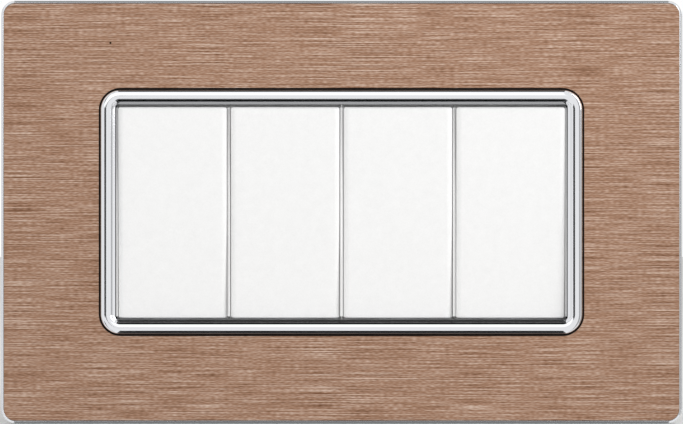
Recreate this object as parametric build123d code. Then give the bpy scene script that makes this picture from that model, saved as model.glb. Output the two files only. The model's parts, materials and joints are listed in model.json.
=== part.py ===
from build123d import *
from math import cos, pi, radians, sin
import os

# A flush plate of rocker switches: a brushed sheet in a moulded cover, a plated bezel, and single-pole
# modules on a grid frame that is screwed to the wall box.
# Every piece is drawn face up, x to the right, y up the wall and z out of the wall, which is at z = 0.
# The finished pieces are stood up, so that the plate faces -Y with the wall box behind it at +Y.

os.makedirs("parts", exist_ok=True)

# Modules side by side
module_count = 4
module_pitch = 24.0
module_gap = 0.06

# Rocker
rocker_h = 45.0
rocker_t = 1.8
rocker_side_w = 1.3         # rounded strip along each side of its face
rocker_side_drop = 0.4
rocker_end_bevel = 0.3      # round the ends of its face
rocker_side_gap = 0.15      # to the lips of its housing
rocker_tilt = 2.5           # each way from the middle of its swing
face_z = 8.8                # rocker's face above the wall, at the middle of its swing
pivot_drop = 4.6            # pivot axis below the face
skirt_t = 1.2
skirt_l = 24.0
skirt_gap = 0.25            # to the side wall of its housing
boss_r = 2.7
pin_r = 1.25
pin_clear = 0.05
pin_inset = 0.2             # pin's end inside the housing's outer face
rib_t = 1.0
rib_depth = 2.4
spine_l = 36.0
socket_t = 1.1
socket_drop = 7.7           # socket's mouth below the pivot

# Plunger and spring in the rocker's socket
plunger_w = 3.0
plunger_clear = 0.08
plunger_l = 6.0
nose_w = 0.8
nose_l = 1.4
spigot_w = 1.0
spigot_l = 1.6
nose_drop = 11.2            # blunt nose below the pivot
nose_gap = 0.14             # nose to the seesaw contact
spring_wire = 0.45
spring_turns = 4
spring_sides = 8            # straight runs in each turn
spring_clear = 0.2
spring_seat = 0.1

# Seesaw contact, and the contact pads that it closes
contact_w = 5.0
contact_t = 0.8
wing_l = 8.6
wing_angle = 3.0
contact_tilt = 3.75         # each way from the middle of its swing
bead_r = 0.9
cradle_clear = 0.08
cradle_gap = 0.2
pad_w = 2.4
pad_h = 0.6
pad_y = 7.0
pad_gap = 0.08              # between the pads when closed

# Terminals
block_w = 8.0
block_l = 8.0
block_h = 8.0
block_inset = 2.5           # terminal's end inside the module's
block_clear = 0.1
tongue_t = 1.0
post_l = 3.0
wire_w = 3.6
wire_depth = 6.8
wire_entry_gap = 0.15       # base's hole round the terminal's
clamp_r = 1.5
clamp_clear = 0.05
clamp_tip_gap = 0.2         # backed-off screw to the wire's hole
clamp_proud = 1.4           # backed-off screw out of its terminal
clamp_slot_w = 0.8
clamp_slot_depth = 0.9
driver_gap = 1.5            # round the screw, for a screwdriver

# Module housing and its rear base
housing_h = 46.0
housing_side_t = 1.2
housing_end_t = 1.5
housing_bevel = 0.5
housing_depth = 12.5        # behind the wall's plane, down to the rear base
lip_t = 0.25
lip_drop = 0.35             # lips below the rocker's face
lip_end_gap = 0.25          # lips short of the rocker's ends
stop_gap = 0.3              # sunk end of the rocker to the end wall
pivot_wall = 0.8            # over the pivot hole
pivot_wall_l = 10.0
flange_w = 16.0
flange_reach = 1.6
flange_t = 1.4
latch_w = 10.0
latch_reach = 1.0
latch_gap = 0.1
latch_ramp = 2.0
base_depth = 10.0
spigot_ring_t = 0.8
spigot_ring_h = 2.0
spigot_ring_gap = 0.1
snap_y = 8.0
snap_l = 4.6
snap_h = 0.8
snap_reach = 0.5
snap_gap = 0.2

# Grid frame and its box screws
grid_cover_gap = 3.9        # to the wall of the cover
grid_corner_r = 4.0
grid_t = 3.0
grid_rim_w = 1.5
grid_rim_h = 2.0
grid_side_gap = 0.25        # to the outer modules
grid_end_gap = 0.2          # to the modules' end walls
latch_depth = 1.5           # notch behind the frame's edge
screw_spacing = 108.0
screw_slot_l = 8.0
screw_slot_w = 4.4
screw_r = 1.75
screw_neck_r = 1.5
screw_head_r = 3.5
screw_head_t = 2.2
screw_l = 25.0
screw_slot_t = 1.0
screw_slot_depth = 1.2

# Cover and the sheet in its recess
plate_w = 145.0
plate_h = 90.0
plate_corner_r = 3.0
cover_depth = 9.0
cover_wall = 1.6
panel_t = 1.8
rim_w = 0.55
rim_bevel = 0.4
sheet_t = 0.8
sheet_clear = 0.05
sheet_gap = 0.45            # from the sheet's opening to the bezel
hook_x = 36.0
hook_inset = 6.5            # from the grid frame's edge
hook_w = 6.0
hook_t = 1.4
hook_reach = 0.7
hook_gap = 0.15
hook_flex = 1.0             # room to spring the hook back
hook_rest = 0.4             # hook's foot above the wall
pry_w = 8.0
pry_h = 1.2

# Bezel
bezel_side_gap = 0.1        # to the outer modules' sides
bezel_end_gap = 0.3         # to the rockers' ends
bezel_lip_w = 0.55
bezel_lip_t = 1.2
bezel_lip_drop = 0.2        # lip below the sheet's face
bead_w = 2.6
bead_h = 1.4                # above the sheet's face
bead_outer_r = 0.5
bead_inner_r = 0.65
bezel_corner_r = 4.2
bezel_inner_corner_r = 0.5
bezel_seat_w = 1.6
collar_clear = 0.15
tab_w = 8.0
tab_t = 0.8
tab_drop = 1.0              # below the cover's panel
tab_reach = 0.5
tab_gap = 0.1

# Widths and heights that follow from them
module_x = [(i - (module_count - 1) / 2) * module_pitch for i in range(module_count)]
housing_w = module_pitch - module_gap
rocker_w = housing_w - 2 * (lip_t + rocker_side_gap)
pivot_z = face_z - pivot_drop
under_z = face_z - rocker_t
socket_z = pivot_z - socket_drop
socket_bore = plunger_w + 2 * plunger_clear
nose_z = pivot_z - nose_drop
plunger_top = nose_z + plunger_l
contact_z = nose_z - nose_gap - contact_t / 2
floor_z = -housing_depth
base_z = floor_z - base_depth
block_z = floor_z - block_h
block_y = housing_h / 2 - block_inset - block_l / 2
skirt_x = housing_w / 2 - housing_side_t - skirt_gap
sunk = radians(rocker_tilt)
sunk_z = pivot_z - rocker_h / 2 * sin(sunk) + (pivot_drop - rocker_t) * cos(sunk)
end_z = sunk_z - stop_gap
lip_z = face_z - lip_drop
grid_w = plate_w - 2 * (cover_wall + grid_cover_gap)
grid_h = plate_h - 2 * (cover_wall + grid_cover_gap)
hook_y = grid_h / 2 - hook_inset
grid_open_w = (module_count - 1) * module_pitch + housing_w + 2 * grid_side_gap
grid_open_h = housing_h + 2 * grid_end_gap
panel_top = cover_depth - sheet_t
panel_under = panel_top - panel_t
bezel_in_w = (module_count - 1) * module_pitch + housing_w + 2 * bezel_side_gap
bezel_in_h = rocker_h + 2 * bezel_end_gap
bezel_w = bezel_in_w + 2 * (bezel_lip_w + bead_w)
bezel_h = bezel_in_h + 2 * (bezel_lip_w + bead_w)
panel_open_w = bezel_w - 2 * bezel_seat_w
panel_open_h = bezel_h - 2 * bezel_seat_w
panel_open_r = bezel_corner_r - bezel_seat_w


def slab(w, h, r, z0, z1):
    return extrude(Pos(0, 0, z0) * RectangleRounded(w, h, r), z1 - z0)


def bar(x0, x1, y0, y1, z0, z1):
    return Pos((x0 + x1) / 2, (y0 + y1) / 2, (z0 + z1) / 2) * Box(x1 - x0, y1 - y0, z1 - z0)


def post(width, z0, z1):
    return bar(-width / 2, width / 2, -width / 2, width / 2, z0, z1)


def module_block(z0, z1):
    block = bar(-housing_w / 2, housing_w / 2, -housing_h / 2, housing_h / 2, z0, z1)
    return chamfer(block.edges().filter_by(Axis.Z), housing_bevel)


def across(side_view, width):
    return extrude(Plane.YZ * side_view, width / 2, both=True)


def polygon(*points):
    return make_face(Polyline(*points, close=True))


def both_sides(shape):
    return shape + mirror(shape, Plane.YZ)


def both_ends(shape):
    return shape + mirror(shape, Plane.XZ)


def along_y(shape, y, z):
    return Pos(0, y, z) * Rot(-90, 0, 0) * shape


def tilted(shape):
    return shape.rotate(Axis((0, 0, pivot_z), (1, 0, 0)), -rocker_tilt)


def make_rocker():
    side_x = rocker_w / 2
    side_z = face_z - rocker_side_drop
    crown_x = side_x - rocker_side_w
    side = TangentArc((crown_x, face_z), (side_x, side_z), tangent=(1, 0))
    side += Line((side_x, side_z), (side_x, under_z))
    outline = both_sides(side) + Line((-crown_x, face_z), (crown_x, face_z))
    outline += Line((-side_x, under_z), (side_x, under_z))
    face = extrude(Plane.XZ * make_face(outline), rocker_h / 2, both=True)
    end_edges = face.faces().filter_by(Axis.Y).edges()
    face = chamfer([e for e in end_edges if e.center().Z > under_z + rocker_end_bevel / 2], rocker_end_bevel)
    taper = polygon((-skirt_l / 2, under_z), (skirt_l / 2, under_z), (boss_r, pivot_z), (-boss_r, pivot_z))
    skirt = taper + Pos(0, pivot_z) * Circle(boss_r)
    skirt = extrude(Plane.YZ.offset(skirt_x - skirt_t) * skirt, skirt_t)
    pin_end = housing_w / 2 - pin_inset
    pin = extrude(Plane.YZ.offset(skirt_x) * Pos(0, pivot_z) * Circle(pin_r), pin_end - skirt_x)
    rib_z = under_z - rib_depth
    cross_rib = bar(-skirt_x + skirt_t, skirt_x - skirt_t, -rib_t / 2, rib_t / 2, rib_z, under_z)
    spine_rib = bar(-rib_t / 2, rib_t / 2, -spine_l / 2, spine_l / 2, rib_z, under_z)
    socket = post(socket_bore + 2 * socket_t, socket_z, under_z)
    bore = post(socket_bore, socket_z, under_z)
    return face + both_sides(skirt + pin) + cross_rib + spine_rib + socket - bore


def make_plunger():
    shoe = polygon(
        (-nose_w / 2, nose_z),
        (nose_w / 2, nose_z),
        (plunger_w / 2, nose_z + nose_l),
        (plunger_w / 2, plunger_top),
        (-plunger_w / 2, plunger_top),
        (-plunger_w / 2, nose_z + nose_l),
    )
    return across(shoe, plunger_w) + post(spigot_w, plunger_top, plunger_top + spigot_l)


def make_spring():
    coil_r = socket_bore / 2 - spring_clear - spring_wire / 2
    start_z = plunger_top + spring_seat + spring_wire / 2
    rise = under_z - spring_seat - spring_wire / 2 - start_z
    runs = spring_turns * spring_sides
    points = []
    for i in range(runs + 1):
        turn = 2 * pi * i / spring_sides
        points.append((coil_r * cos(turn), coil_r * sin(turn), start_z + rise * i / runs))
    coil = Polyline(*points)
    wire = Plane(coil @ 0, x_dir=(1, 0, 0), z_dir=coil % 0) * Rectangle(spring_wire, spring_wire)
    return sweep(wire, coil, transition=Transition.RIGHT)


def make_moving_contact():
    wing = Rot(0, 0, wing_angle) * Pos(wing_l / 2, 0) * Rectangle(wing_l, contact_t)
    bead = make_face(CenterArc((0, 0), bead_r, 180, 180) + Line((bead_r, 0), (-bead_r, 0)))
    strip = across(wing + mirror(wing, Plane.YZ) + bead, contact_w)
    pad = bar(-pad_w / 2, pad_w / 2, pad_y - pad_w / 2, pad_y + pad_w / 2, -contact_t / 2 - pad_h, 0)
    return strip + Rot(wing_angle, 0, 0) * pad


def make_cage():
    cage = bar(-block_w / 2, block_w / 2, block_y - block_l / 2, block_y + block_l / 2, block_z, floor_z)
    wire = Pos(0, block_y, 0) * post(wire_w, block_z, block_z + wire_depth)
    thread = extrude(Circle(clamp_r + clamp_clear), block_l / 2)
    return cage - wire - along_y(thread, block_y, block_z + block_h / 2)


def make_common_terminal():
    far_y = -block_y - block_l / 2
    cradle_z = contact_z - contact_t / 2 - cradle_gap
    strip = polygon(
        (far_y, floor_z),
        (post_l / 2, floor_z),
        (post_l / 2, cradle_z),
        (-post_l / 2, cradle_z),
        (-post_l / 2, floor_z + tongue_t),
        (far_y, floor_z + tongue_t),
    )
    strip -= Pos(0, contact_z) * Circle(bead_r + cradle_clear)
    return mirror(make_cage(), Plane.XZ) + across(strip, contact_w)


def make_line_terminal():
    far_y = block_y + block_l / 2
    closed = radians(contact_tilt - wing_angle)
    edge_y = pad_y + pad_w / 2
    pad_z = contact_z - edge_y * sin(closed) - (contact_t / 2 + pad_h) * cos(closed) - pad_gap
    strip = polygon(
        (far_y, floor_z),
        (pad_y - post_l / 2, floor_z),
        (pad_y - post_l / 2, pad_z - pad_h),
        (pad_y + post_l / 2, pad_z - pad_h),
        (pad_y + post_l / 2, floor_z + tongue_t),
        (far_y, floor_z + tongue_t),
    )
    pad = bar(-pad_w / 2, pad_w / 2, pad_y - pad_w / 2, pad_y + pad_w / 2, pad_z - pad_h, pad_z)
    return make_cage() + across(strip, contact_w) + pad


def make_terminal_screws():
    tip_y = block_y + wire_w / 2 + clamp_tip_gap
    top = block_y + block_l / 2 + clamp_proud - tip_y
    shank = extrude(Circle(clamp_r), top)
    slot = bar(-clamp_r, clamp_r, -clamp_slot_w / 2, clamp_slot_w / 2, top - clamp_slot_depth, top)
    screw = along_y(shank - slot, tip_y, block_z + block_h / 2)
    return Compound([screw, mirror(screw, Plane.XZ)])


def make_housing():
    inner_w = housing_w - 2 * housing_side_t
    inner_h = housing_h - 2 * housing_end_t
    shell = module_block(floor_z, end_z)
    shell -= bar(-inner_w / 2, inner_w / 2, -inner_h / 2, inner_h / 2, floor_z, end_z)
    boss_z = pivot_z + pin_r + pin_clear + pivot_wall
    boss = polygon(
        (-pivot_wall_l / 2, end_z),
        (pivot_wall_l / 2, end_z),
        (boss_r, boss_z),
        (-boss_r, boss_z),
    )
    boss = extrude(Plane.YZ.offset(inner_w / 2) * boss, housing_side_t)
    lip_y = rocker_h / 2 - lip_end_gap
    lip = bar(housing_w / 2 - lip_t, housing_w / 2, -lip_y, lip_y, end_z, lip_z)
    pivot = Pos(0, pivot_z) * Circle(pin_r + pin_clear)
    pivot = extrude(Plane.YZ.offset(inner_w / 2) * pivot, housing_side_t)
    window_z = floor_z + spigot_ring_h / 2
    window_l = snap_l / 2 + snap_gap
    window_h = snap_h / 2 + snap_gap
    end_y = housing_h / 2
    flange = bar(-flange_w / 2, flange_w / 2, end_y, end_y + flange_reach, grid_t, grid_t + flange_t)
    latch_z = latch_depth - latch_gap
    latch = polygon(
        (end_y, latch_z),
        (end_y + latch_reach, latch_z),
        (end_y + latch_reach, latch_z - latch_reach),
        (end_y, latch_z - latch_reach - latch_ramp),
    )
    housing = shell + both_sides(boss + lip) + both_ends(flange + across(latch, latch_w))
    housing -= both_sides(pivot)
    side_x = housing_w / 2
    for y in (-snap_y, snap_y):
        housing -= bar(-side_x, side_x, y - window_l, y + window_l, window_z - window_h, window_z + window_h)
    return housing


def make_base():
    ring_w = housing_w - 2 * (housing_side_t + spigot_ring_gap)
    ring_h = housing_h - 2 * (housing_end_t + spigot_ring_gap)
    ring_z = floor_z + spigot_ring_h
    ring_in_w = ring_w / 2 - spigot_ring_t
    ring_in_h = ring_h / 2 - spigot_ring_t
    ring = bar(-ring_w / 2, ring_w / 2, -ring_h / 2, ring_h / 2, floor_z, ring_z)
    ring -= bar(-ring_in_w, ring_in_w, -ring_in_h, ring_in_h, floor_z, ring_z)
    snap_z = floor_z + spigot_ring_h / 2
    snaps = Sketch() + [Pos(y, snap_z) * Rectangle(snap_l, snap_h) for y in (-snap_y, snap_y)]
    snaps = extrude(Plane.YZ.offset(ring_in_w) * snaps, spigot_ring_t + snap_reach)
    near_y = block_y - block_l / 2
    far_y = block_y + block_l / 2
    pocket_w = block_w / 2 + block_clear
    pocket = bar(-pocket_w, pocket_w, near_y - block_clear, far_y + block_clear, block_z, floor_z)
    notch_w = clamp_r + driver_gap
    notch_z = block_z + block_h / 2 - notch_w
    notch = bar(-notch_w, notch_w, far_y, housing_h / 2, notch_z, floor_z)
    entry = Pos(0, block_y, 0) * post(wire_w + 2 * wire_entry_gap, base_z, block_z)
    base = module_block(base_z, floor_z) + ring + both_sides(snaps)
    return base - both_ends(pocket + notch + entry)


def make_grid_frame():
    frame = slab(grid_w, grid_h, grid_corner_r, 0, grid_t + grid_rim_h)
    tray_r = grid_corner_r - grid_rim_w
    frame -= slab(grid_w - 2 * grid_rim_w, grid_h - 2 * grid_rim_w, tray_r, grid_t, grid_t + grid_rim_h)
    frame -= bar(-grid_open_w / 2, grid_open_w / 2, -grid_open_h / 2, grid_open_h / 2, 0, grid_t)
    for x in (-screw_spacing / 2, screw_spacing / 2):
        frame -= extrude(Pos(x, 0, 0) * Rot(0, 0, 90) * SlotOverall(screw_slot_l, screw_slot_w), grid_t)
    notch_y = housing_h / 2 + latch_reach + grid_end_gap
    notch_x = latch_w / 2 + grid_side_gap
    for x in module_x:
        frame -= bar(x - notch_x, x + notch_x, -notch_y, notch_y, 0, latch_depth)
    half = hook_w / 2 + hook_gap
    inner_y = hook_y - hook_t / 2 - hook_flex
    outer_y = hook_y + hook_t / 2 + hook_gap
    window = bar(hook_x - half, hook_x + half, inner_y, outer_y, 0, grid_t)
    window += bar(hook_x - half, hook_x + half, outer_y, outer_y + hook_reach, 0, latch_depth)
    return frame - both_ends(both_sides(window))


def make_fixing_screws():
    top = grid_t + screw_head_t
    tip = grid_t - screw_l
    screw = extrude(Pos(0, 0, grid_t) * Circle(screw_head_r), screw_head_t)
    screw += extrude(Circle(screw_neck_r), grid_t)
    screw += extrude(Pos(0, 0, tip) * Circle(screw_r), -tip)
    slot_t = screw_slot_t / 2
    screw -= bar(-slot_t, slot_t, -screw_head_r, screw_head_r, top - screw_slot_depth, top)
    return Compound([Pos(x, 0, 0) * screw for x in (-screw_spacing / 2, screw_spacing / 2)])


def make_cover_frame():
    cover = slab(plate_w, plate_h, plate_corner_r, 0, cover_depth)
    cover = chamfer(cover.faces().sort_by(Axis.Z)[-1].edges(), rim_bevel)
    inner_r = plate_corner_r - cover_wall
    cover -= slab(plate_w - 2 * cover_wall, plate_h - 2 * cover_wall, inner_r, 0, panel_under)
    cover -= slab(plate_w - 2 * rim_w, plate_h - 2 * rim_w, plate_corner_r - rim_w, panel_top, cover_depth)
    cover -= slab(panel_open_w, panel_open_h, panel_open_r, panel_under, panel_top)
    cover -= bar(-pry_w / 2, pry_w / 2, -plate_h / 2, -plate_h / 2 + cover_wall, 0, pry_h)
    outer_y = hook_y + hook_t / 2
    barb_z = latch_depth - latch_gap
    hook = polygon(
        (outer_y - hook_t, panel_under),
        (outer_y, panel_under),
        (outer_y, barb_z),
        (outer_y + hook_reach, barb_z),
        (outer_y, hook_rest),
        (outer_y - hook_t, hook_rest),
    )
    hook = Pos(hook_x, 0, 0) * across(hook, hook_w)
    return cover + both_ends(both_sides(hook))


def make_fascia_sheet():
    border = rim_w + sheet_clear
    sheet = slab(plate_w - 2 * border, plate_h - 2 * border, plate_corner_r - border, panel_top, cover_depth)
    opening_r = bezel_corner_r + sheet_gap
    return sheet - slab(bezel_w + 2 * sheet_gap, bezel_h + 2 * sheet_gap, opening_r, panel_top, cover_depth)


def make_bezel_ring():
    bead_z = cover_depth + bead_h
    bead_in_r = bezel_corner_r - bead_w
    bead = slab(bezel_w, bezel_h, bezel_corner_r, panel_top, bead_z)
    bead -= slab(bezel_w - 2 * bead_w, bezel_h - 2 * bead_w, bead_in_r, panel_top, bead_z)
    bead = fillet(bead.faces().sort_by(Axis.Z)[-1].outer_wire().edges(), bead_outer_r)
    bead = fillet(bead.faces().sort_by(Axis.Z)[-1].inner_wires()[0].edges(), bead_inner_r)
    lip_top = cover_depth - bezel_lip_drop
    collar_z = lip_top - bezel_lip_t
    collar_w = panel_open_w - 2 * collar_clear
    collar_h = panel_open_h - 2 * collar_clear
    collar = slab(collar_w, collar_h, panel_open_r - collar_clear, collar_z, lip_top)
    collar -= slab(bezel_in_w, bezel_in_h, bezel_inner_corner_r, collar_z, lip_top)
    outer_y = collar_h / 2
    barb_z = panel_under - tab_gap
    tab = polygon(
        (outer_y - tab_t, collar_z),
        (outer_y, collar_z),
        (outer_y, barb_z),
        (outer_y + tab_reach + collar_clear, barb_z),
        (outer_y, panel_under - tab_drop),
        (outer_y - tab_t, panel_under - tab_drop),
    )
    tab = across(tab, tab_w)
    ring = bead + collar
    for x in module_x:
        ring += both_ends(Pos(x, 0, 0) * tab)
    return ring


def stand_up(shape, x=0):
    return Rot(90, 0, 0) * Pos(x, 0, 0) * shape


plate_pieces = {
    "fascia_sheet": make_fascia_sheet(),
    "cover_frame": make_cover_frame(),
    "bezel_ring": make_bezel_ring(),
    "grid_frame": make_grid_frame(),
    "fixing_screws": make_fixing_screws(),
}
for name, piece in plate_pieces.items():
    export_step(stand_up(piece), f"parts/{name}.step")

module_pieces = {
    "rocker": tilted(make_rocker()),
    "plunger": tilted(make_plunger()),
    "spring": tilted(make_spring()),
    "moving_contact": Pos(0, 0, contact_z) * Rot(contact_tilt, 0, 0) * make_moving_contact(),
    "common_terminal": make_common_terminal(),
    "line_terminal": make_line_terminal(),
    "terminal_screws": make_terminal_screws(),
    "housing": make_housing(),
    "base": make_base(),
}
# Modules are fitted with the line terminal below, so that a rocker's top stands out while it is off.
for number, x in enumerate(module_x, start=1):
    for name, piece in module_pieces.items():
        export_step(stand_up(Rot(0, 0, 180) * piece, x), f"parts/{name}_{number}.step")
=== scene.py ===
import json
from math import cos, radians, sin

import bmesh
import bpy
from mathutils import Matrix, Vector

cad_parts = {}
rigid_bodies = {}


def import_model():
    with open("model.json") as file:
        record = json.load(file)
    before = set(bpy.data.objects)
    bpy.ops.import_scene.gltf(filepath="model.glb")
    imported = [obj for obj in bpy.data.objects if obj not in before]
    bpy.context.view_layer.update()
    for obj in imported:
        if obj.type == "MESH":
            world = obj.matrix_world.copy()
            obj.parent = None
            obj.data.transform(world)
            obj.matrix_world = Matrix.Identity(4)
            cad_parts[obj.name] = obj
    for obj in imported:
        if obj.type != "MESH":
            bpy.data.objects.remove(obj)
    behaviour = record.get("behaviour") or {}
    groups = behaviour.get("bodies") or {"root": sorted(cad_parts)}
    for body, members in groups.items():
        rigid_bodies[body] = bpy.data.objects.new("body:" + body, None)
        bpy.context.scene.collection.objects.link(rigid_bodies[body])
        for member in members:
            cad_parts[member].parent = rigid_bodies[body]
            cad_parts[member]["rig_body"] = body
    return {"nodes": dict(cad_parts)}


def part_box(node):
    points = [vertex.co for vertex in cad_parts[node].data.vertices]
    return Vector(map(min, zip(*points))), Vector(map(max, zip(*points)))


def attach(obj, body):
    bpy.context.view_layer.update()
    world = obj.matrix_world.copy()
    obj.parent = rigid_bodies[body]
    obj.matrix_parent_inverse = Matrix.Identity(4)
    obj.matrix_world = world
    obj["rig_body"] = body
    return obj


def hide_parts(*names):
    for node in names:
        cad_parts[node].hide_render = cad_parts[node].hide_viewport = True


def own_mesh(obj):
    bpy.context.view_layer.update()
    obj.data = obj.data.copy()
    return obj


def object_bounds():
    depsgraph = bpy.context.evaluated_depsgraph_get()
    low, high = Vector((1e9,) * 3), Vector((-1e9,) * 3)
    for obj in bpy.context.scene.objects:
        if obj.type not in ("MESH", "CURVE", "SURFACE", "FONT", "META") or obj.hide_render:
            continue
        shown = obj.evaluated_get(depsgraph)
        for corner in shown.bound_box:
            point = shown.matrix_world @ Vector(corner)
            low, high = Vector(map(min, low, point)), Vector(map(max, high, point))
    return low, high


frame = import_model()
cad_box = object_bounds()


# Grid frame: the carrier behind the cover that is screwed to the wall box and holds the four modules.
# Glass-filled polycarbonate, injection moulded in one piece, so all its edges are slightly broken.
grid_colour = "37383B"
grid_cloud_colour = "45464A"
grid_cloud = 1.2            # mm, bundles of glass close under the skin
grid_grain = 0.3            # mm, texture of the mould
grid_relief = 0.03          # mm, depth of that texture
grid_edge = 0.12            # mm
merge_gap = 0.001           # mm, corners of a CAD mesh that are closer than this become one
flat_angle = 1.0            # degrees, faces that meet at less than this become one
sharp_angle = 40.0          # degrees, edges that turn by more than this are broken
break_steps = 2             # faces across a broken edge
broken_soft_angle = 50.0    # degrees, edges that turn by less than this are shaded soft


def linear(srgb):
    """A hex colour as linear red, green and blue, with full alpha."""
    channels = [int(srgb[i:i + 2], 16) / 255 for i in (0, 2, 4)]
    return [c / 12.92 if c <= 0.04045 else ((c + 0.055) / 1.055) ** 2.4 for c in channels] + [1.0]


def add(tree, kind, inputs, **settings):
    """One shader node: settings are its properties, and each input takes a value or another node's output."""
    made = tree.nodes.new("ShaderNode" + kind)
    for name, value in settings.items():
        setattr(made, name, value)
    for name, value in inputs.items():
        if isinstance(value, bpy.types.NodeSocket):
            tree.links.new(value, made.inputs[name])
        else:
            made.inputs[name].default_value = value
    return made


def start_finish(name):
    """A new material, its empty node tree, and the piece's own coordinates in millimetres."""
    material = bpy.data.materials.new(name)
    material.use_nodes = True
    tree = material.node_tree
    tree.nodes.clear()
    place = add(tree, "TexCoord", {})
    in_mm = add(tree, "VectorMath", {0: place.outputs["Object"], 1: (1000, 1000, 1000)}, operation="MULTIPLY")
    return material, tree, in_mm.outputs[0]


def make_piece(name, shape, material, soft_angle):
    """A finished bmesh as a piece: edges that turn by less than the angle are soft, and faces stay flat."""
    mesh = bpy.data.meshes.new(name)
    shape.to_mesh(mesh)
    shape.free()
    mesh.materials.append(material)
    mesh.polygons.foreach_set("use_smooth", [True] * len(mesh.polygons))
    mesh.set_sharp_from_angle(angle=radians(soft_angle))
    piece = bpy.data.objects.new(name, mesh)
    bpy.context.scene.collection.objects.link(piece)
    piece.modifiers.new("flat_faces", "WEIGHTED_NORMAL").keep_sharp = True
    return piece


def break_edges(node, edge, material, reshape=None):
    """A copy of a CAD node that stands for it: merged, reshaped if asked, with its sharp edges broken."""
    shape = bmesh.new()
    shape.from_mesh(frame["nodes"][node].data)
    bmesh.ops.remove_doubles(shape, verts=shape.verts, dist=merge_gap / 1000)
    bmesh.ops.dissolve_limit(
        shape, angle_limit=radians(flat_angle), verts=shape.verts, edges=shape.edges,
    )
    if reshape:
        reshape(shape)
    sharp = [e for e in shape.edges if e.calc_face_angle(0) > radians(sharp_angle)]
    bmesh.ops.bevel(
        shape, geom=sharp, offset=edge / 1000, offset_type="OFFSET", affect="EDGES",
        segments=break_steps, profile=0.5, material=-1, clamp_overlap=True,
    )
    piece = make_piece(node + "_finished", shape, material, broken_soft_angle)
    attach(piece, frame["nodes"][node]["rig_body"])
    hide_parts(node)
    return piece


# Glass-filled polycarbonate as moulded: dark grey and dull, with faint clouds of glass under the skin.
grid_finish, tree, in_mm = start_finish("glass_filled_polycarbonate")
cloud = add(tree, "TexNoise", {"Vector": in_mm, "Scale": 1 / grid_cloud, "Detail": 3.0})
share = add(tree, "MapRange", {"Value": cloud.outputs["Fac"], "From Min": 0.35, "From Max": 0.7})
colour = add(
    tree, "MixRGB",
    {"Fac": share.outputs[0], "Color1": linear(grid_colour), "Color2": linear(grid_cloud_colour)},
)
grain = add(tree, "TexNoise", {"Vector": in_mm, "Scale": 1 / grid_grain, "Detail": 2.0})
dull = add(tree, "MapRange", {"Value": grain.outputs["Fac"], "To Min": 0.48, "To Max": 0.62})
relief = add(
    tree, "Bump", {"Height": grain.outputs["Fac"], "Strength": 0.25, "Distance": grid_relief / 1000},
)
skin = add(tree, "BsdfPrincipled", {
    "Base Color": colour.outputs[0], "Roughness": dull.outputs[0], "IOR": 1.58, "Normal": relief.outputs[0],
})
add(tree, "OutputMaterial", {"Surface": skin.outputs[0]})
break_edges("grid_frame", grid_edge, grid_finish)


# Box screws and terminal screws: slotted machine screws that clamp the frame to the box and the wires in the
# terminals. Mild steel with a bright zinc plating, turned and rolled.
zinc_colour = "C3C6CA"
zinc_shade_colour = "A6A9AE"
zinc_bloom = 0.8            # mm, patches in the plating
turning_pitch = 0.18        # mm, marks of the lathe
turning_depth = 0.02        # mm
screw_edge = 0.1            # mm
modules = range(1, 5)

# Zinc plate, passivated: a cool silver with soft patches and fine turning marks.
zinc_finish, tree, in_mm = start_finish("zinc_plated_steel")
bloom = add(tree, "TexNoise", {"Vector": in_mm, "Scale": 1 / zinc_bloom, "Detail": 3.0})
colour = add(
    tree, "MixRGB",
    {"Fac": bloom.outputs["Fac"], "Color1": linear(zinc_shade_colour), "Color2": linear(zinc_colour)},
)
worn = add(tree, "MapRange", {"Value": bloom.outputs["Fac"], "To Min": 0.24, "To Max": 0.42})
marks = add(tree, "TexNoise", {"Vector": in_mm, "Scale": 1 / turning_pitch, "Detail": 1.0})
relief = add(
    tree, "Bump", {"Height": marks.outputs["Fac"], "Strength": 0.15, "Distance": turning_depth / 1000},
)
skin = add(tree, "BsdfPrincipled", {
    "Base Color": colour.outputs[0], "Metallic": 1.0, "Roughness": worn.outputs[0],
    "Normal": relief.outputs[0],
})
add(tree, "OutputMaterial", {"Surface": skin.outputs[0]})
for node in ["fixing_screws"] + [f"terminal_screws_{n}" for n in modules]:
    break_edges(node, screw_edge, zinc_finish)


# Rear bases: the boxes behind the modules that hold the terminals and take the wires from behind.
# Polybutylene terephthalate, injection moulded, snapped into the housings from the back.
base_colour = "62656A"
base_cloud_colour = "565A5F"
base_cloud = 2.5            # mm, flow marks
base_grain = 0.35           # mm, texture of the mould
base_relief = 0.03          # mm, depth of that texture
base_edge = 0.18            # mm

# PBT as moulded: mid grey, with a satin skin and slight flow marks.
base_finish, tree, in_mm = start_finish("moulded_pbt")
cloud = add(tree, "TexNoise", {"Vector": in_mm, "Scale": 1 / base_cloud, "Detail": 2.0, "Distortion": 0.6})
colour = add(
    tree, "MixRGB",
    {"Fac": cloud.outputs["Fac"], "Color1": linear(base_cloud_colour), "Color2": linear(base_colour)},
)
grain = add(tree, "TexNoise", {"Vector": in_mm, "Scale": 1 / base_grain, "Detail": 2.0})
dull = add(tree, "MapRange", {"Value": grain.outputs["Fac"], "To Min": 0.4, "To Max": 0.55})
relief = add(
    tree, "Bump", {"Height": grain.outputs["Fac"], "Strength": 0.2, "Distance": base_relief / 1000},
)
skin = add(tree, "BsdfPrincipled", {
    "Base Color": colour.outputs[0], "Roughness": dull.outputs[0], "IOR": 1.57, "Normal": relief.outputs[0],
})
add(tree, "OutputMaterial", {"Surface": skin.outputs[0]})
for n in modules:
    break_edges(f"base_{n}", base_edge, base_finish)


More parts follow.
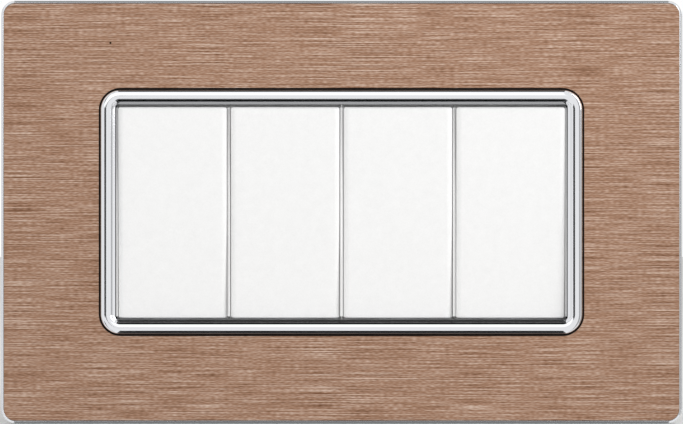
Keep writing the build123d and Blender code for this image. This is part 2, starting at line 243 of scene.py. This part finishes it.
# Terminals and seesaw contacts: the switch's current path, with a cage for the wire at each end.
# Brass strip, stamped and folded, laid into the bases.
brass_colour = "D6B56B"
brass_stain_colour = "B08A48"
brass_streak_l = 3.0        # mm, along the rolling direction
brass_streak_w = 0.25       # mm, across it

# Rolled brass: warm yellow, with fine streaks from rolling and a little tarnish along them.
brass_finish, tree, in_mm = start_finish("rolled_brass")
streak_place = add(
    tree, "VectorMath",
    {0: in_mm, 1: (1 / brass_streak_w, 1 / brass_streak_w, 1 / brass_streak_l)}, operation="MULTIPLY",
)
streaks = add(tree, "TexNoise", {"Vector": streak_place.outputs[0], "Scale": 1.0, "Detail": 2.0})
stain = add(tree, "MapRange", {"Value": streaks.outputs["Fac"], "From Min": 0.35, "From Max": 0.65})
colour = add(
    tree, "MixRGB",
    {"Fac": stain.outputs[0], "Color1": linear(brass_stain_colour), "Color2": linear(brass_colour)},
)
dull = add(tree, "MapRange", {"Value": streaks.outputs["Fac"], "To Min": 0.4, "To Max": 0.22})
skin = add(tree, "BsdfPrincipled", {
    "Base Color": colour.outputs[0], "Metallic": 1.0, "Roughness": dull.outputs[0],
})
add(tree, "OutputMaterial", {"Surface": skin.outputs[0]})


def dress(node, material):
    """Gives a CAD node, whose shape stays, its material."""
    materials = frame["nodes"][node].data.materials
    materials.clear()
    materials.append(material)


for n in modules:
    for kind in ("common_terminal", "line_terminal", "moving_contact"):
        dress(f"{kind}_{n}", brass_finish)


# Plungers: the small shoes in the rockers that tip the contacts over.
# Acetal, moulded in its natural colour, sliding in the rocker's socket.
acetal_colour = "E6E2D6"
acetal_shade_colour = "DAD5C6"
acetal_cloud = 1.5          # mm, faint clouds in it

# Natural acetal: a waxy, creamy white.
acetal_finish, tree, in_mm = start_finish("natural_acetal")
cloud = add(tree, "TexNoise", {"Vector": in_mm, "Scale": 1 / acetal_cloud, "Detail": 2.0})
colour = add(
    tree, "MixRGB",
    {"Fac": cloud.outputs["Fac"], "Color1": linear(acetal_shade_colour), "Color2": linear(acetal_colour)},
)
waxy = add(tree, "MapRange", {"Value": cloud.outputs["Fac"], "To Min": 0.3, "To Max": 0.4})
skin = add(tree, "BsdfPrincipled", {
    "Base Color": colour.outputs[0], "Roughness": waxy.outputs[0], "IOR": 1.48,
})
add(tree, "OutputMaterial", {"Surface": skin.outputs[0]})
for n in modules:
    dress(f"plunger_{n}", acetal_finish)


# Springs: coils behind the plungers that make the rockers snap over.
# Music wire, drawn and wound cold; in the switch each shortens as its plunger goes in, but each piece here
# keeps one length and has a mesh of its own.
wire_colour = "8F9297"
wire_draw_colour = "74777C"
wire_mark = 0.12            # mm, drawing marks
wire_edge = 0.05            # mm

# Drawn steel wire: a mid grey metal with fine dark drawing marks.
wire_finish, tree, in_mm = start_finish("drawn_music_wire")
marks = add(tree, "TexNoise", {"Vector": in_mm, "Scale": 1 / wire_mark, "Detail": 1.0})
colour = add(
    tree, "MixRGB",
    {"Fac": marks.outputs["Fac"], "Color1": linear(wire_draw_colour), "Color2": linear(wire_colour)},
)
dull = add(tree, "MapRange", {"Value": marks.outputs["Fac"], "To Min": 0.25, "To Max": 0.4})
skin = add(tree, "BsdfPrincipled", {
    "Base Color": colour.outputs[0], "Metallic": 1.0, "Roughness": dull.outputs[0],
})
add(tree, "OutputMaterial", {"Surface": skin.outputs[0]})
for n in modules:
    low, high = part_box(f"spring_{n}")
    spring = break_edges(f"spring_{n}", wire_edge, wire_finish)
    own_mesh(spring)


# Housings and rockers: the white modules, each a snapped-in housing with a rocker on two pivot pins.
# Polycarbonate, injection moulded in a spark-eroded mould.
# Thin lips of the housings show between the rockers.
white_colour = "F3F3F3"
white_shade_colour = "EDEDED"
white_grain = 0.35          # mm, spark-eroded grain
white_relief = 0.03         # mm, depth of that grain
white_cloud = 1.6           # mm, soft patches in it
cloud_share = 0.4           # of those patches in the mottle
white_edge = 0.03           # mm, small, because the housings' lips are thin
rocker_edge = 0.15          # mm
corner_share = 0.15         # what is left of the bevels on the housings' upright corners
corner_lean = 0.6           # least x and z of the normal of such a bevel

# White polycarbonate with a fine erosion grain: neutral white, satin, very slightly mottled.
white_finish, tree, in_mm = start_finish("white_polycarbonate")
grain = add(tree, "TexNoise", {"Vector": in_mm, "Scale": 1 / white_grain, "Detail": 2.0})
patches = add(tree, "TexNoise", {"Vector": in_mm, "Scale": 1 / white_cloud, "Detail": 2.0})
mottle = add(
    tree, "MixRGB",
    {"Fac": cloud_share, "Color1": grain.outputs["Fac"], "Color2": patches.outputs["Fac"]},
)
share = add(tree, "MapRange", {"Value": mottle.outputs[0], "From Min": 0.3, "From Max": 0.7})
colour = add(
    tree, "MixRGB",
    {"Fac": share.outputs[0], "Color1": linear(white_shade_colour), "Color2": linear(white_colour)},
)
satin = add(tree, "MapRange", {"Value": mottle.outputs[0], "To Min": 0.26, "To Max": 0.36})
relief = add(
    tree, "Bump", {"Height": grain.outputs["Fac"], "Strength": 0.2, "Distance": white_relief / 1000},
)
skin = add(tree, "BsdfPrincipled", {
    "Base Color": colour.outputs[0], "Roughness": satin.outputs[0], "IOR": 1.58, "Normal": relief.outputs[0],
})
add(tree, "OutputMaterial", {"Surface": skin.outputs[0]})


def tighten_corners(shape):
    """Draws each bevelled upright corner out towards its tip, so that no chink shows beside it."""
    for face in [f for f in shape.faces if min(abs(f.normal.x), abs(f.normal.z)) > corner_lean]:
        tip_x = max((v.co.x for v in face.verts), key=lambda x: x * face.normal.x)
        tip_z = max((v.co.z for v in face.verts), key=lambda z: z * face.normal.z)
        bmesh.ops.scale(
            shape, vec=(corner_share, 1, corner_share), space=Matrix.Translation((-tip_x, 0, -tip_z)),
            verts=face.verts,
        )


for n in modules:
    break_edges(f"housing_{n}", white_edge, white_finish, tighten_corners)
    break_edges(f"rocker_{n}", rocker_edge, white_finish)


# Cover: the box-shaped moulding that snaps onto the grid frame and carries the sheet in a recess.
# Black ABS; its outer sides and the thin rim round the sheet are plated in bright silver.
cover_black = "0C0C0D"
cover_black_sheen = "161617"
rim_colour = "E2E3E6"
rim_w = 0.62                # mm, plated width seen from the front
cover_corner_r = 3.0        # mm
cover_edge = 0.1            # mm
cover_mark = 1.8            # mm, flow marks in the black
beyond = 1000.0             # mm, more than the plate is deep, so that depth doesn't count
half_w = cad_box[1].x * 1000
half_h = cad_box[1].z * 1000

# Plated ABS: bright silver outside a line that follows the rim, and a dull black moulding inside it.
cover_finish, tree, in_mm = start_finish("black_abs_with_plated_rim")
folded = add(tree, "VectorMath", {0: in_mm}, operation="ABSOLUTE")
past_corner = add(
    tree, "VectorMath",
    {0: folded.outputs[0], 1: (half_w - cover_corner_r, beyond, half_h - cover_corner_r)},
    operation="SUBTRACT",
)
outside = add(tree, "VectorMath", {0: past_corner.outputs[0], 1: (0, 0, 0)}, operation="MAXIMUM")
reach = add(tree, "VectorMath", {0: outside.outputs[0]}, operation="LENGTH")
plated = add(tree, "Math", {0: reach.outputs["Value"], 1: cover_corner_r - rim_w}, operation="GREATER_THAN")
flow = add(tree, "TexNoise", {"Vector": in_mm, "Scale": 1 / cover_mark, "Detail": 2.0})
black = add(
    tree, "MixRGB",
    {"Fac": flow.outputs["Fac"], "Color1": linear(cover_black), "Color2": linear(cover_black_sheen)},
)
colour = add(
    tree, "MixRGB", {"Fac": plated.outputs[0], "Color1": black.outputs[0], "Color2": linear(rim_colour)},
)
gloss = add(tree, "MapRange", {"Value": plated.outputs[0], "To Min": 0.6, "To Max": 0.14})
skin = add(tree, "BsdfPrincipled", {
    "Base Color": colour.outputs[0], "Metallic": plated.outputs[0], "Roughness": gloss.outputs[0],
    "Specular IOR Level": 0.2,
})
add(tree, "OutputMaterial", {"Surface": skin.outputs[0]})
break_edges("cover_frame", cover_edge, cover_finish)


# Fascia sheet: the front of the plate, glued into the cover's recess.
# Aluminium sheet, brushed lengthwise, punched, anodised and dyed rose gold, with one small dark speck.
fascia_colour = "A7836C"
fascia_dark_colour = "6F4C36"
# whitish tone of the lighter strokes: brush grain with a painted sheen on it
fascia_grain_sheen_colour = "D7C0B0"
stroke_l = 8.0              # mm, strokes of the brush
long_stroke_l = 20.0        # mm
long_share = 0.5            # of the long strokes among them
stroke_w = 0.2              # mm, drawn coarser than real strokes, so that they show
stroke_depth = 0.02         # mm
break_l = 1.0               # mm, short breaks in the strokes
break_w = 0.18              # mm, also drawn coarser
break_share = 0.3           # of the breaks in the pattern
speck_x = -49.2             # mm
speck_z = 36.0              # mm
speck_r = 0.28              # mm
speck_core = 0.6            # share of its radius that is fully dark
speck_colour = "1A120E"
sheet_edge = 0.06           # mm

# Brushed anodised aluminium: a coppery metal whose fine lines run along the plate, lighter and darker; the
# lighter lines are also whitened, a painted sheen on the real grain.
fascia_finish, tree, in_mm = start_finish("brushed_rose_gold_aluminium")
stroke_place = add(
    tree, "VectorMath", {0: in_mm, 1: (1 / stroke_l, 1 / stroke_w, 1 / stroke_w)}, operation="MULTIPLY",
)
long_place = add(
    tree, "VectorMath", {0: in_mm, 1: (1 / long_stroke_l, 1 / stroke_w, 1 / stroke_w)}, operation="MULTIPLY",
)
break_place = add(
    tree, "VectorMath", {0: in_mm, 1: (1 / break_l, 1 / break_w, 1 / break_w)}, operation="MULTIPLY",
)
short_strokes = add(tree, "TexNoise", {"Vector": stroke_place.outputs[0], "Scale": 1.0, "Detail": 0.0})
long_strokes = add(tree, "TexNoise", {"Vector": long_place.outputs[0], "Scale": 1.0, "Detail": 0.0})
breaks = add(tree, "TexNoise", {"Vector": break_place.outputs[0], "Scale": 1.0, "Detail": 0.0})
both = add(
    tree, "MixRGB",
    {"Fac": long_share, "Color1": short_strokes.outputs["Fac"], "Color2": long_strokes.outputs["Fac"]},
)
strokes = add(
    tree, "MixRGB", {"Fac": break_share, "Color1": both.outputs[0], "Color2": breaks.outputs["Fac"]},
)
darker = add(tree, "MapRange", {"Value": strokes.outputs[0], "From Min": 0.5, "From Max": 0.28})
# The lighter strokes move towards that whitish tone, which paints a sheen onto the grain.
grain_sheen_share = add(tree, "MapRange", {"Value": strokes.outputs[0], "From Min": 0.5, "From Max": 0.72})
shaded = add(
    tree, "MixRGB",
    {"Fac": darker.outputs[0], "Color1": linear(fascia_colour), "Color2": linear(fascia_dark_colour)},
)
grain_with_sheen = add(
    tree, "MixRGB",
    {"Fac": grain_sheen_share.outputs[0], "Color1": shaded.outputs[0], "Color2": linear(fascia_grain_sheen_colour)},
)
flat_place = add(tree, "VectorMath", {0: in_mm, 1: (1, 0, 1)}, operation="MULTIPLY")
from_speck = add(
    tree, "VectorMath", {0: flat_place.outputs[0], 1: (speck_x, 0, speck_z)}, operation="DISTANCE",
)
speck = add(
    tree, "MapRange",
    {"Value": from_speck.outputs["Value"], "From Min": speck_r, "From Max": speck_core * speck_r},
)
colour = add(
    tree, "MixRGB", {"Fac": speck.outputs[0], "Color1": grain_with_sheen.outputs[0], "Color2": linear(speck_colour)},
)
dull = add(
    tree, "MapRange",
    {"Value": strokes.outputs[0], "From Min": 0.3, "From Max": 0.7, "To Min": 0.44, "To Max": 0.34},
)
relief = add(
    tree, "Bump", {"Height": strokes.outputs[0], "Strength": 0.15, "Distance": stroke_depth / 1000},
)
skin = add(tree, "BsdfPrincipled", {
    "Base Color": colour.outputs[0], "Metallic": 1.0, "Roughness": dull.outputs[0],
    "Normal": relief.outputs[0],
})
add(tree, "OutputMaterial", {"Surface": skin.outputs[0]})
break_edges("fascia_sheet", sheet_edge, fascia_finish)


# Bezel: the raised bright ring round the rockers, with a lip that reaches in to them.
# ABS, moulded with eight snap tabs that hold it in the cover, polished and chrome plated.
bead_w = 2.5                # mm
bead_outer_r = 0.5          # mm
bead_inner_r = 0.95         # mm
bead_foot_r = 0.08          # mm, tighter round where it turns down to the lip
bead_foot_slope = 45.0      # degrees, where that begins
bead_crown = 12.0           # degrees, slope of the crowned top at its edges
bead_seat = 8.2             # mm above the wall, on the cover
lip_top = 8.8               # mm above the wall
lip_under = 7.6             # mm above the wall
lip_w = 0.55                # mm
lip_fall = 0.144            # mm, slope down to the rockers
lip_edge_r = 0.08           # mm
bezel_corner_r = 4.2        # mm
lip_corner_r = 0.5          # mm
collar_inset = 1.75         # mm, the part that sits in the cover's opening
tab_w = 8.0                 # mm
tab_t = 0.8                 # mm
tab_barb = 6.3              # mm above the wall
tab_foot = 5.4              # mm above the wall
tab_reach = 0.65            # mm
chrome_colour = "E3E4E7"
chrome_haze = 6.0           # mm, clouds in the polish
arc_steps = 10              # faces round each arc of the section
corner_steps = 20           # faces round each corner of the ring
bezel_soft_angle = 35.0     # degrees

low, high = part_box("bezel_ring")
bezel_w = (high.x - low.x) * 1000
bezel_h = (high.z - low.z) * 1000
bead_top = -low.y * 1000


def turn(radius, start, end, steps):
    """Steps in and up along an arc whose slope goes down from start to end, in degrees."""
    slopes = [radians(start + (end - start) * i / steps) for i in range(steps + 1)]
    for a, b in zip(slopes, slopes[1:]):
        yield radius * (sin(a) - sin(b)), radius * (cos(b) - cos(a))


def step_in(shape, face, steps):
    """Insets the face along the steps, each in by one size and up by another."""
    for inset, up in steps:
        bmesh.ops.inset_region(
            shape, faces=[face], thickness=inset, depth=up, use_boundary=True, use_even_offset=True,
        )


def rise(shape, face, height):
    """A straight wall round the face, which moves up by the height."""
    moved = bmesh.ops.extrude_discrete_faces(shape, faces=[face])["faces"][0]
    bmesh.ops.translate(shape, vec=(0, 0, height), verts=moved.verts)
    return moved


def stand_up(shape):
    """From millimetres, face up, to metres with the face to the front."""
    bmesh.ops.rotate(shape, matrix=Matrix.Rotation(radians(90), 3, "X"), verts=shape.verts)
    bmesh.ops.scale(shape, vec=(0.001, 0.001, 0.001), verts=shape.verts)


# The bead's section is an outer round, a crowned top, and an inner round that gets tighter at its foot.
outer_arc = list(turn(bead_outer_r, 90, bead_crown, arc_steps))
inner_arc = list(turn(bead_inner_r, -bead_crown, -bead_foot_slope, arc_steps))
inner_arc += turn(bead_foot_r, -bead_foot_slope, -90, arc_steps)
crown_w = bead_w - sum(inset for inset, up in outer_arc + inner_arc)
crown_r = crown_w / (2 * sin(radians(bead_crown)))
crown_rise = crown_r * (1 - cos(radians(bead_crown)))
outer_rise = sum(up for inset, up in outer_arc)
inner_fall = -sum(up for inset, up in inner_arc)

# A rounded rectangle rises from the seat, and its face steps in along that section to the sloped lip.
shape = bmesh.new()
corners = bmesh.ops.create_grid(shape, x_segments=1, y_segments=1, size=0.5)["verts"]
bmesh.ops.scale(shape, vec=(bezel_w, bezel_h, 1), verts=corners)
bmesh.ops.translate(shape, vec=(0, 0, bead_seat), verts=corners)
bmesh.ops.bevel(
    shape, geom=corners, offset=bezel_corner_r, offset_type="OFFSET", affect="VERTICES",
    segments=corner_steps, profile=0.5, material=-1,
)
shape.faces.ensure_lookup_table()
face = rise(shape, shape.faces[0], bead_top - crown_rise - outer_rise - bead_seat)
step_in(shape, face, outer_arc)
step_in(shape, face, turn(crown_r, bead_crown, -bead_crown, arc_steps))
step_in(shape, face, inner_arc)
face = rise(shape, face, lip_top - (bead_top - crown_rise - inner_fall))
step_in(shape, face, [(lip_w - lip_edge_r, -lip_fall)])

# The lip's inner corners are tighter than the bead's, so each is drawn out towards its tip.
inset = bead_w + lip_w - lip_edge_r
tighter = (lip_corner_r + lip_edge_r) / (bezel_corner_r - inset)
for x_way in (-1, 1):
    for y_way in (-1, 1):
        tip = Vector((x_way * (bezel_w / 2 - inset), y_way * (bezel_h / 2 - inset), 0))
        corner_verts = [v for v in face.verts if v.co.x * x_way > 0 and v.co.y * y_way > 0]
        bmesh.ops.scale(
            shape, vec=(tighter, tighter, 1), space=Matrix.Translation(-tip), verts=corner_verts,
        )
step_in(shape, face, turn(lip_edge_r, 0, -90, arc_steps // 2))
face = rise(shape, face, lip_under - lip_top + lip_fall + lip_edge_r)

# The back is a flat seat on the cover, a collar in its opening, and the underside of the lip.
inner_edge = list(face.edges)
bmesh.ops.delete(shape, geom=[face], context="FACES_ONLY")
outer_edge = [e for e in shape.edges if e.is_boundary and e not in inner_edge]
seat = bmesh.ops.extrude_edge_only(shape, edges=outer_edge)["geom"]
seat_verts = [v for v in seat if isinstance(v, bmesh.types.BMVert)]
bmesh.ops.scale(
    shape, vec=(1 - 2 * collar_inset / bezel_w, 1 - 2 * collar_inset / bezel_h, 1), verts=seat_verts,
)
seat_edge = [e for e in seat if isinstance(e, bmesh.types.BMEdge)]
collar = bmesh.ops.extrude_edge_only(shape, edges=seat_edge)["geom"]
collar_verts = [v for v in collar if isinstance(v, bmesh.types.BMVert)]
bmesh.ops.translate(shape, vec=(0, 0, lip_under - bead_seat), verts=collar_verts)
collar_edge = [e for e in collar if isinstance(e, bmesh.types.BMEdge)]
bmesh.ops.bridge_loops(shape, edges=collar_edge + inner_edge)

# Two barbed tabs for each module reach back from the collar's long sides.
collar_y = bezel_h / 2 - collar_inset
tab_outline = [
    (collar_y - tab_t, lip_under),
    (collar_y, lip_under),
    (collar_y, tab_barb),
    (collar_y + tab_reach, tab_barb),
    (collar_y, tab_foot),
    (collar_y - tab_t, tab_foot),
]
for n in modules:
    rocker_low, rocker_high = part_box(f"rocker_{n}")
    middle = (rocker_low.x + rocker_high.x) / 2 * 1000
    for way in (-1, 1):
        points = [shape.verts.new((middle - tab_w / 2, way * y, z)) for y, z in tab_outline]
        side = shape.faces.new(points)
        grown = bmesh.ops.extrude_face_region(shape, geom=[side])["geom"]
        tab_verts = [v for v in grown if isinstance(v, bmesh.types.BMVert)]
        bmesh.ops.translate(shape, vec=(tab_w, 0, 0), verts=tab_verts)
bmesh.ops.recalc_face_normals(shape, faces=shape.faces)
stand_up(shape)

# Chrome plate over polished ABS: a bright mirror with the faintest haze.
chrome_finish, tree, in_mm = start_finish("chrome_plated_abs")
haze = add(tree, "TexNoise", {"Vector": in_mm, "Scale": 1 / chrome_haze, "Detail": 2.0})
polish = add(tree, "MapRange", {"Value": haze.outputs["Fac"], "To Min": 0.03, "To Max": 0.07})
skin = add(tree, "BsdfPrincipled", {
    "Base Color": linear(chrome_colour), "Metallic": 1.0, "Roughness": polish.outputs[0],
})
add(tree, "OutputMaterial", {"Surface": skin.outputs[0]})
bezel = make_piece("bezel_plated", shape, chrome_finish, bezel_soft_angle)
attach(bezel, "plate")
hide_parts("bezel_ring")


# Floor: a plain pale studio floor that the plate stands on.
# Painted board; what is shiny on the plate mirrors the flags and the open background in its place.
floor_colour = "ECECEA"
floor_size = 6.0            # m
floor_drop = 0.0002         # m, gap under the plate
floor_cloud = 500.0         # mm, patches in the paint
board_soft_angle = 30.0     # degrees
floor_finish, tree, in_mm = start_finish("pale_painted_board")
cloud = add(tree, "TexNoise", {"Vector": in_mm, "Scale": 1 / floor_cloud, "Detail": 2.0})
dull = add(tree, "MapRange", {"Value": cloud.outputs["Fac"], "To Min": 0.75, "To Max": 0.85})
skin = add(tree, "BsdfPrincipled", {"Base Color": linear(floor_colour), "Roughness": dull.outputs[0]})
add(tree, "OutputMaterial", {"Surface": skin.outputs[0]})
shape = bmesh.new()
bmesh.ops.create_grid(shape, x_segments=1, y_segments=1, size=floor_size / 2)
bmesh.ops.translate(shape, vec=(0, 0, cad_box[0].z - floor_drop), verts=shape.verts)
floor = make_piece("floor", shape, floor_finish, board_soft_angle)
floor.visible_glossy = False


# Flags: dark, grey and pale boards round the set, which the bezel and the rim mirror as their lines.
# Only reflections see them: the camera doesn't, and they cast no shadow and no light on what is dull.
flags = {
    # name: grey, size and middle, in metres
    "flag_above_far": ("3C3C3C", (0.26, 0.11, 0.004), (0, -0.785, 0.46)),
    "flag_above": ("161616", (0.26, 0.69, 0.004), (0, -0.385, 0.46)),
    "flag_over": ("A8A8A8", (0.26, 0.64, 0.004), (0, 0.28, 0.46)),
    "flag_below_far": ("060606", (0.26, 0.523, 0.004), (0, -1.0085, -0.4)),
    "flag_below_mid": ("B4B4B4", (0.26, 0.13, 0.004), (0, -0.682, -0.4)),
    "flag_below": ("060606", (0.26, 0.567, 0.004), (0, -0.3335, -0.4)),
    "flag_under": ("8A8A8A", (0.26, 0.65, 0.004), (0, 0.275, -0.4)),
    "flag_left": ("4A4A4A", (0.335, 0.004, 0.2), (-0.322, -1.6, 0)),
    "flag_right": ("B4B4B4", (0.045, 0.004, 0.2), (0.125, -0.17, 0)),
    "flag_side_left": ("EEEEEE", (0.004, 0.7, 1.0), (-0.9, -0.25, 0)),
    "flag_side_right": ("B0B0B0", (0.004, 0.7, 1.0), (0.9, -0.25, 0)),
    "flag_high_left": ("202020", (0.1, 0.004, 0.9), (-0.47, -0.95, 0.66)),
    "flag_high_right": ("202020", (0.1, 0.004, 0.9), (0.47, -0.95, 0.66)),
    "flag_low_left": ("202020", (0.1, 0.004, 0.9), (-0.47, -0.95, -0.66)),
    "flag_low_right": ("202020", (0.1, 0.004, 0.9), (0.47, -0.95, -0.66)),
    "flag_behind_high": ("C4C4C4", (6.0, 0.004, 1.5), (0, 1.2, 0.75)),
    "flag_behind_low": ("8C8C8C", (6.0, 0.004, 1.5), (0, 1.2, -0.75)),
}
for name, (grey, size, middle) in flags.items():
    flag_finish, tree, _ = start_finish(name + "_board")
    board = add(tree, "Emission", {"Color": linear(grey), "Strength": 1.0})
    add(tree, "OutputMaterial", {"Surface": board.outputs[0]})
    shape = bmesh.new()
    bmesh.ops.create_cube(shape, size=1.0)
    bmesh.ops.scale(shape, vec=size, verts=shape.verts)
    bmesh.ops.translate(shape, vec=middle, verts=shape.verts)
    flag = make_piece(name, shape, flag_finish, board_soft_angle)
    flag.visible_camera = flag.visible_diffuse = flag.visible_shadow = flag.visible_transmission = False


# Light: soft light from all round, a large lamp in front on the right, higher than the plate, and a weak
# one above and behind the camera.
# The open background is white to the camera and in reflections, and weaker as a light.
ambient = 0.73              # strength of the background as a light
lamps = {
    # name: power in watts, width and height, and place, in metres
    "key": (12.0, 1.0, 1.0, (1.0, -1.12, 0.55)),
    "front": (0.18, 0.5, 0.32, (-0.12, -0.95, 0.25)),
}
world = bpy.data.worlds.new("studio")
world.use_nodes = True
bpy.context.scene.world = world
tree = world.node_tree
tree.nodes.clear()
path = add(tree, "LightPath", {})
seen = add(
    tree, "Math", {0: path.outputs["Is Camera Ray"], 1: path.outputs["Is Glossy Ray"]},
    operation="MAXIMUM",
)
seen = add(
    tree, "Math", {0: seen.outputs[0], 1: path.outputs["Is Transmission Ray"]}, operation="MAXIMUM",
)
level = add(tree, "MapRange", {"Value": seen.outputs[0], "To Min": ambient, "To Max": 1.0})
sky = add(tree, "Background", {"Color": (1, 1, 1, 1), "Strength": level.outputs[0]})
add(tree, "OutputWorld", {"Surface": sky.outputs[0]})
for name, (power, width, height, place) in lamps.items():
    light = bpy.data.lights.new(name, "AREA")
    light.shape = "RECTANGLE"
    light.energy = power
    light.size = width
    light.size_y = height
    lamp = bpy.data.objects.new(name, light)
    lamp.location = place
    lamp.rotation_mode = "QUATERNION"
    lamp.rotation_quaternion = (-Vector(place)).to_track_quat("-Z", "Y")
    bpy.context.scene.collection.objects.link(lamp)


# Camera: straight in front of the plate, about 0.8 m off, with a long lens.
# The plate fills the picture's width.
picture_w = 683             # pixels
plate_w = 681.0             # pixels, of the plate in the picture
lens = 200.0                # mm
fascia_y = -0.009           # m, front of the fascia
camera_data = bpy.data.cameras.new("camera")
camera_data.lens = lens
seen_w = (cad_box[1].x - cad_box[0].x) * picture_w / plate_w
distance = seen_w * lens / camera_data.sensor_width
camera = bpy.data.objects.new("camera", camera_data)
camera.location = (0, fascia_y - distance, 0)
camera.rotation_euler = (radians(90), 0, 0)
bpy.context.scene.collection.objects.link(camera)
bpy.context.scene.camera = camera
bpy.context.scene.view_settings.view_transform = "Standard"
